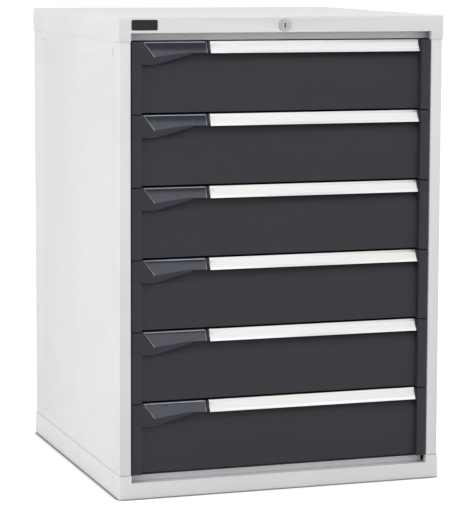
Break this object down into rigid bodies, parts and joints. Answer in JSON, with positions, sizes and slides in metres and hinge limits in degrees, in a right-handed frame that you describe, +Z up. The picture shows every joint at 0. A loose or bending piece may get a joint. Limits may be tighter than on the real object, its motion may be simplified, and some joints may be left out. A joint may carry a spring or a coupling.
{
  "type": "drawer cabinet",
  "caption": "Free-standing sheet-steel workshop cabinet with full-extension drawers, aluminium label handles, latch levers and one cylinder lock.",
  "frame": {"origin": "middle of the footprint, on the floor", "axes": "+X to the right seen from the front, +Y from the drawer fronts to the back, +Z up; the drawers open along -Y"},
  "size_m": [0.717, 0.7278, 1],
  "materials": {
    "casing": "pale grey powder coat, fine texture, semi-matt",
    "front_paint": "anthracite powder coat, satin",
    "tray_paint": "mid grey powder coat",
    "zinc_steel": "zinc plated steel",
    "handle_aluminium": "pale satin anodised extrusion",
    "label_strip": "blank white label strip under a clear cover",
    "cap_moulding": "anthracite moulding, fine spark texture",
    "lever_moulding": "glossy dark blue-grey moulding",
    "lock_chrome": "satin chrome lock"
  },
  "bodies": {
    "cabinet": {"top_cover": "casing", "base_plinth": "casing", "left_side_panel": "casing", "right_side_panel": "casing", "back_panel": "casing", "uprights": "zinc_steel", "cabinet_rails": "zinc_steel", "crossrails": "casing", "lock_housing": "lock_chrome"},
    "lock": {"lock_barrel": "lock_chrome", "lock_rod": "zinc_steel"},
    "lock_bar": {"lock_bar": "zinc_steel"},
    "drawer_1": {"drawer_1_tray": "tray_paint", "drawer_1_front": "front_paint", "drawer_1_handle": "handle_aluminium", "drawer_1_label": "label_strip", "drawer_1_end_caps": "cap_moulding", "drawer_1_rails": "zinc_steel"},
    "carriage_1": {"drawer_1_carriage": "zinc_steel"},
    "latch_1": {"drawer_1_latch": "lever_moulding"},
    "drawer_2": {"drawer_2_tray": "tray_paint", "drawer_2_front": "front_paint", "drawer_2_handle": "handle_aluminium", "drawer_2_label": "label_strip", "drawer_2_end_caps": "cap_moulding", "drawer_2_rails": "zinc_steel"},
    "carriage_2": {"drawer_2_carriage": "zinc_steel"},
    "latch_2": {"drawer_2_latch": "lever_moulding"},
    "drawer_3": {"drawer_3_tray": "tray_paint", "drawer_3_front": "front_paint", "drawer_3_handle": "handle_aluminium", "drawer_3_label": "label_strip", "drawer_3_end_caps": "cap_moulding", "drawer_3_rails": "zinc_steel"},
    "carriage_3": {"drawer_3_carriage": "zinc_steel"},
    "latch_3": {"drawer_3_latch": "lever_moulding"},
    "drawer_4": {"drawer_4_tray": "tray_paint", "drawer_4_front": "front_paint", "drawer_4_handle": "handle_aluminium", "drawer_4_label": "label_strip", "drawer_4_end_caps": "cap_moulding", "drawer_4_rails": "zinc_steel"},
    "carriage_4": {"drawer_4_carriage": "zinc_steel"},
    "latch_4": {"drawer_4_latch": "lever_moulding"},
    "drawer_5": {"drawer_5_tray": "tray_paint", "drawer_5_front": "front_paint", "drawer_5_handle": "handle_aluminium", "drawer_5_label": "label_strip", "drawer_5_end_caps": "cap_moulding", "drawer_5_rails": "zinc_steel"},
    "carriage_5": {"drawer_5_carriage": "zinc_steel"},
    "latch_5": {"drawer_5_latch": "lever_moulding"},
    "drawer_6": {"drawer_6_tray": "tray_paint", "drawer_6_front": "front_paint", "drawer_6_handle": "handle_aluminium", "drawer_6_label": "label_strip", "drawer_6_end_caps": "cap_moulding", "drawer_6_rails": "zinc_steel"},
    "carriage_6": {"drawer_6_carriage": "zinc_steel"},
    "latch_6": {"drawer_6_latch": "lever_moulding"}
  },
  "joints": [
    {"name": "drawer_1_slide", "type": "slide", "parent": "cabinet", "child": "drawer_1", "axis": [0, -1, 0], "range_m": [0, 0.6]},
    {"name": "carriage_1_slide", "type": "slide", "parent": "cabinet", "child": "carriage_1", "axis": [0, -1, 0], "range_m": [0, 0.3]},
    {"name": "latch_1_press", "type": "hinge", "parent": "drawer_1", "child": "latch_1", "pos_m": [-0.23, -0.3485, 0.943], "axis": [1, 0, 0], "range_deg": [0, 8], "stiffness_Nm_per_rad": 0.5, "springref_deg": -6.88},
    {"name": "drawer_2_slide", "type": "slide", "parent": "cabinet", "child": "drawer_2", "axis": [0, -1, 0], "range_m": [0, 0.6]},
    {"name": "carriage_2_slide", "type": "slide", "parent": "cabinet", "child": "carriage_2", "axis": [0, -1, 0], "range_m": [0, 0.3]},
    {"name": "latch_2_press", "type": "hinge", "parent": "drawer_2", "child": "latch_2", "pos_m": [-0.23, -0.3485, 0.793], "axis": [1, 0, 0], "range_deg": [0, 8], "stiffness_Nm_per_rad": 0.5, "springref_deg": -6.88},
    {"name": "drawer_3_slide", "type": "slide", "parent": "cabinet", "child": "drawer_3", "axis": [0, -1, 0], "range_m": [0, 0.6]},
    {"name": "carriage_3_slide", "type": "slide", "parent": "cabinet", "child": "carriage_3", "axis": [0, -1, 0], "range_m": [0, 0.3]},
    {"name": "latch_3_press", "type": "hinge", "parent": "drawer_3", "child": "latch_3", "pos_m": [-0.23, -0.3485, 0.643], "axis": [1, 0, 0], "range_deg": [0, 8], "stiffness_Nm_per_rad": 0.5, "springref_deg": -6.88},
    {"name": "drawer_4_slide", "type": "slide", "parent": "cabinet", "child": "drawer_4", "axis": [0, -1, 0], "range_m": [0, 0.6]},
    {"name": "carriage_4_slide", "type": "slide", "parent": "cabinet", "child": "carriage_4", "axis": [0, -1, 0], "range_m": [0, 0.3]},
    {"name": "latch_4_press", "type": "hinge", "parent": "drawer_4", "child": "latch_4", "pos_m": [-0.23, -0.3485, 0.493], "axis": [1, 0, 0], "range_deg": [0, 8], "stiffness_Nm_per_rad": 0.5, "springref_deg": -6.88},
    {"name": "drawer_5_slide", "type": "slide", "parent": "cabinet", "child": "drawer_5", "axis": [0, -1, 0], "range_m": [0, 0.6]},
    {"name": "carriage_5_slide", "type": "slide", "parent": "cabinet", "child": "carriage_5", "axis": [0, -1, 0], "range_m": [0, 0.3]},
    {"name": "latch_5_press", "type": "hinge", "parent": "drawer_5", "child": "latch_5", "pos_m": [-0.23, -0.3485, 0.343], "axis": [1, 0, 0], "range_deg": [0, 8], "stiffness_Nm_per_rad": 0.5, "springref_deg": -6.88},
    {"name": "drawer_6_slide", "type": "slide", "parent": "cabinet", "child": "drawer_6", "axis": [0, -1, 0], "range_m": [0, 0.6]},
    {"name": "carriage_6_slide", "type": "slide", "parent": "cabinet", "child": "carriage_6", "axis": [0, -1, 0], "range_m": [0, 0.3]},
    {"name": "latch_6_press", "type": "hinge", "parent": "drawer_6", "child": "latch_6", "pos_m": [-0.23, -0.3485, 0.193], "axis": [1, 0, 0], "range_deg": [0, 8], "stiffness_Nm_per_rad": 0.5, "springref_deg": -6.88},
    {"name": "lock_turn", "type": "hinge", "parent": "cabinet", "child": "lock", "pos_m": [0, -0.34, 0.9815], "axis": [0, -1, 0], "range_deg": [0, 90]},
    {"name": "lock_bar_slide", "type": "slide", "parent": "cabinet", "child": "lock_bar", "axis": [0, 0, 1], "range_m": [0, 0.01131]}
  ],
  "couplings": [
    {"joint": "carriage_1_slide", "follows": "drawer_1_slide", "ratio": 0.5},
    {"joint": "carriage_2_slide", "follows": "drawer_2_slide", "ratio": 0.5},
    {"joint": "carriage_3_slide", "follows": "drawer_3_slide", "ratio": 0.5},
    {"joint": "carriage_4_slide", "follows": "drawer_4_slide", "ratio": 0.5},
    {"joint": "carriage_5_slide", "follows": "drawer_5_slide", "ratio": 0.5},
    {"joint": "carriage_6_slide", "follows": "drawer_6_slide", "ratio": 0.5},
    {"joint": "lock_turn", "follows": "lock_bar_slide", "rad_per_m": 138.85}
  ]
}
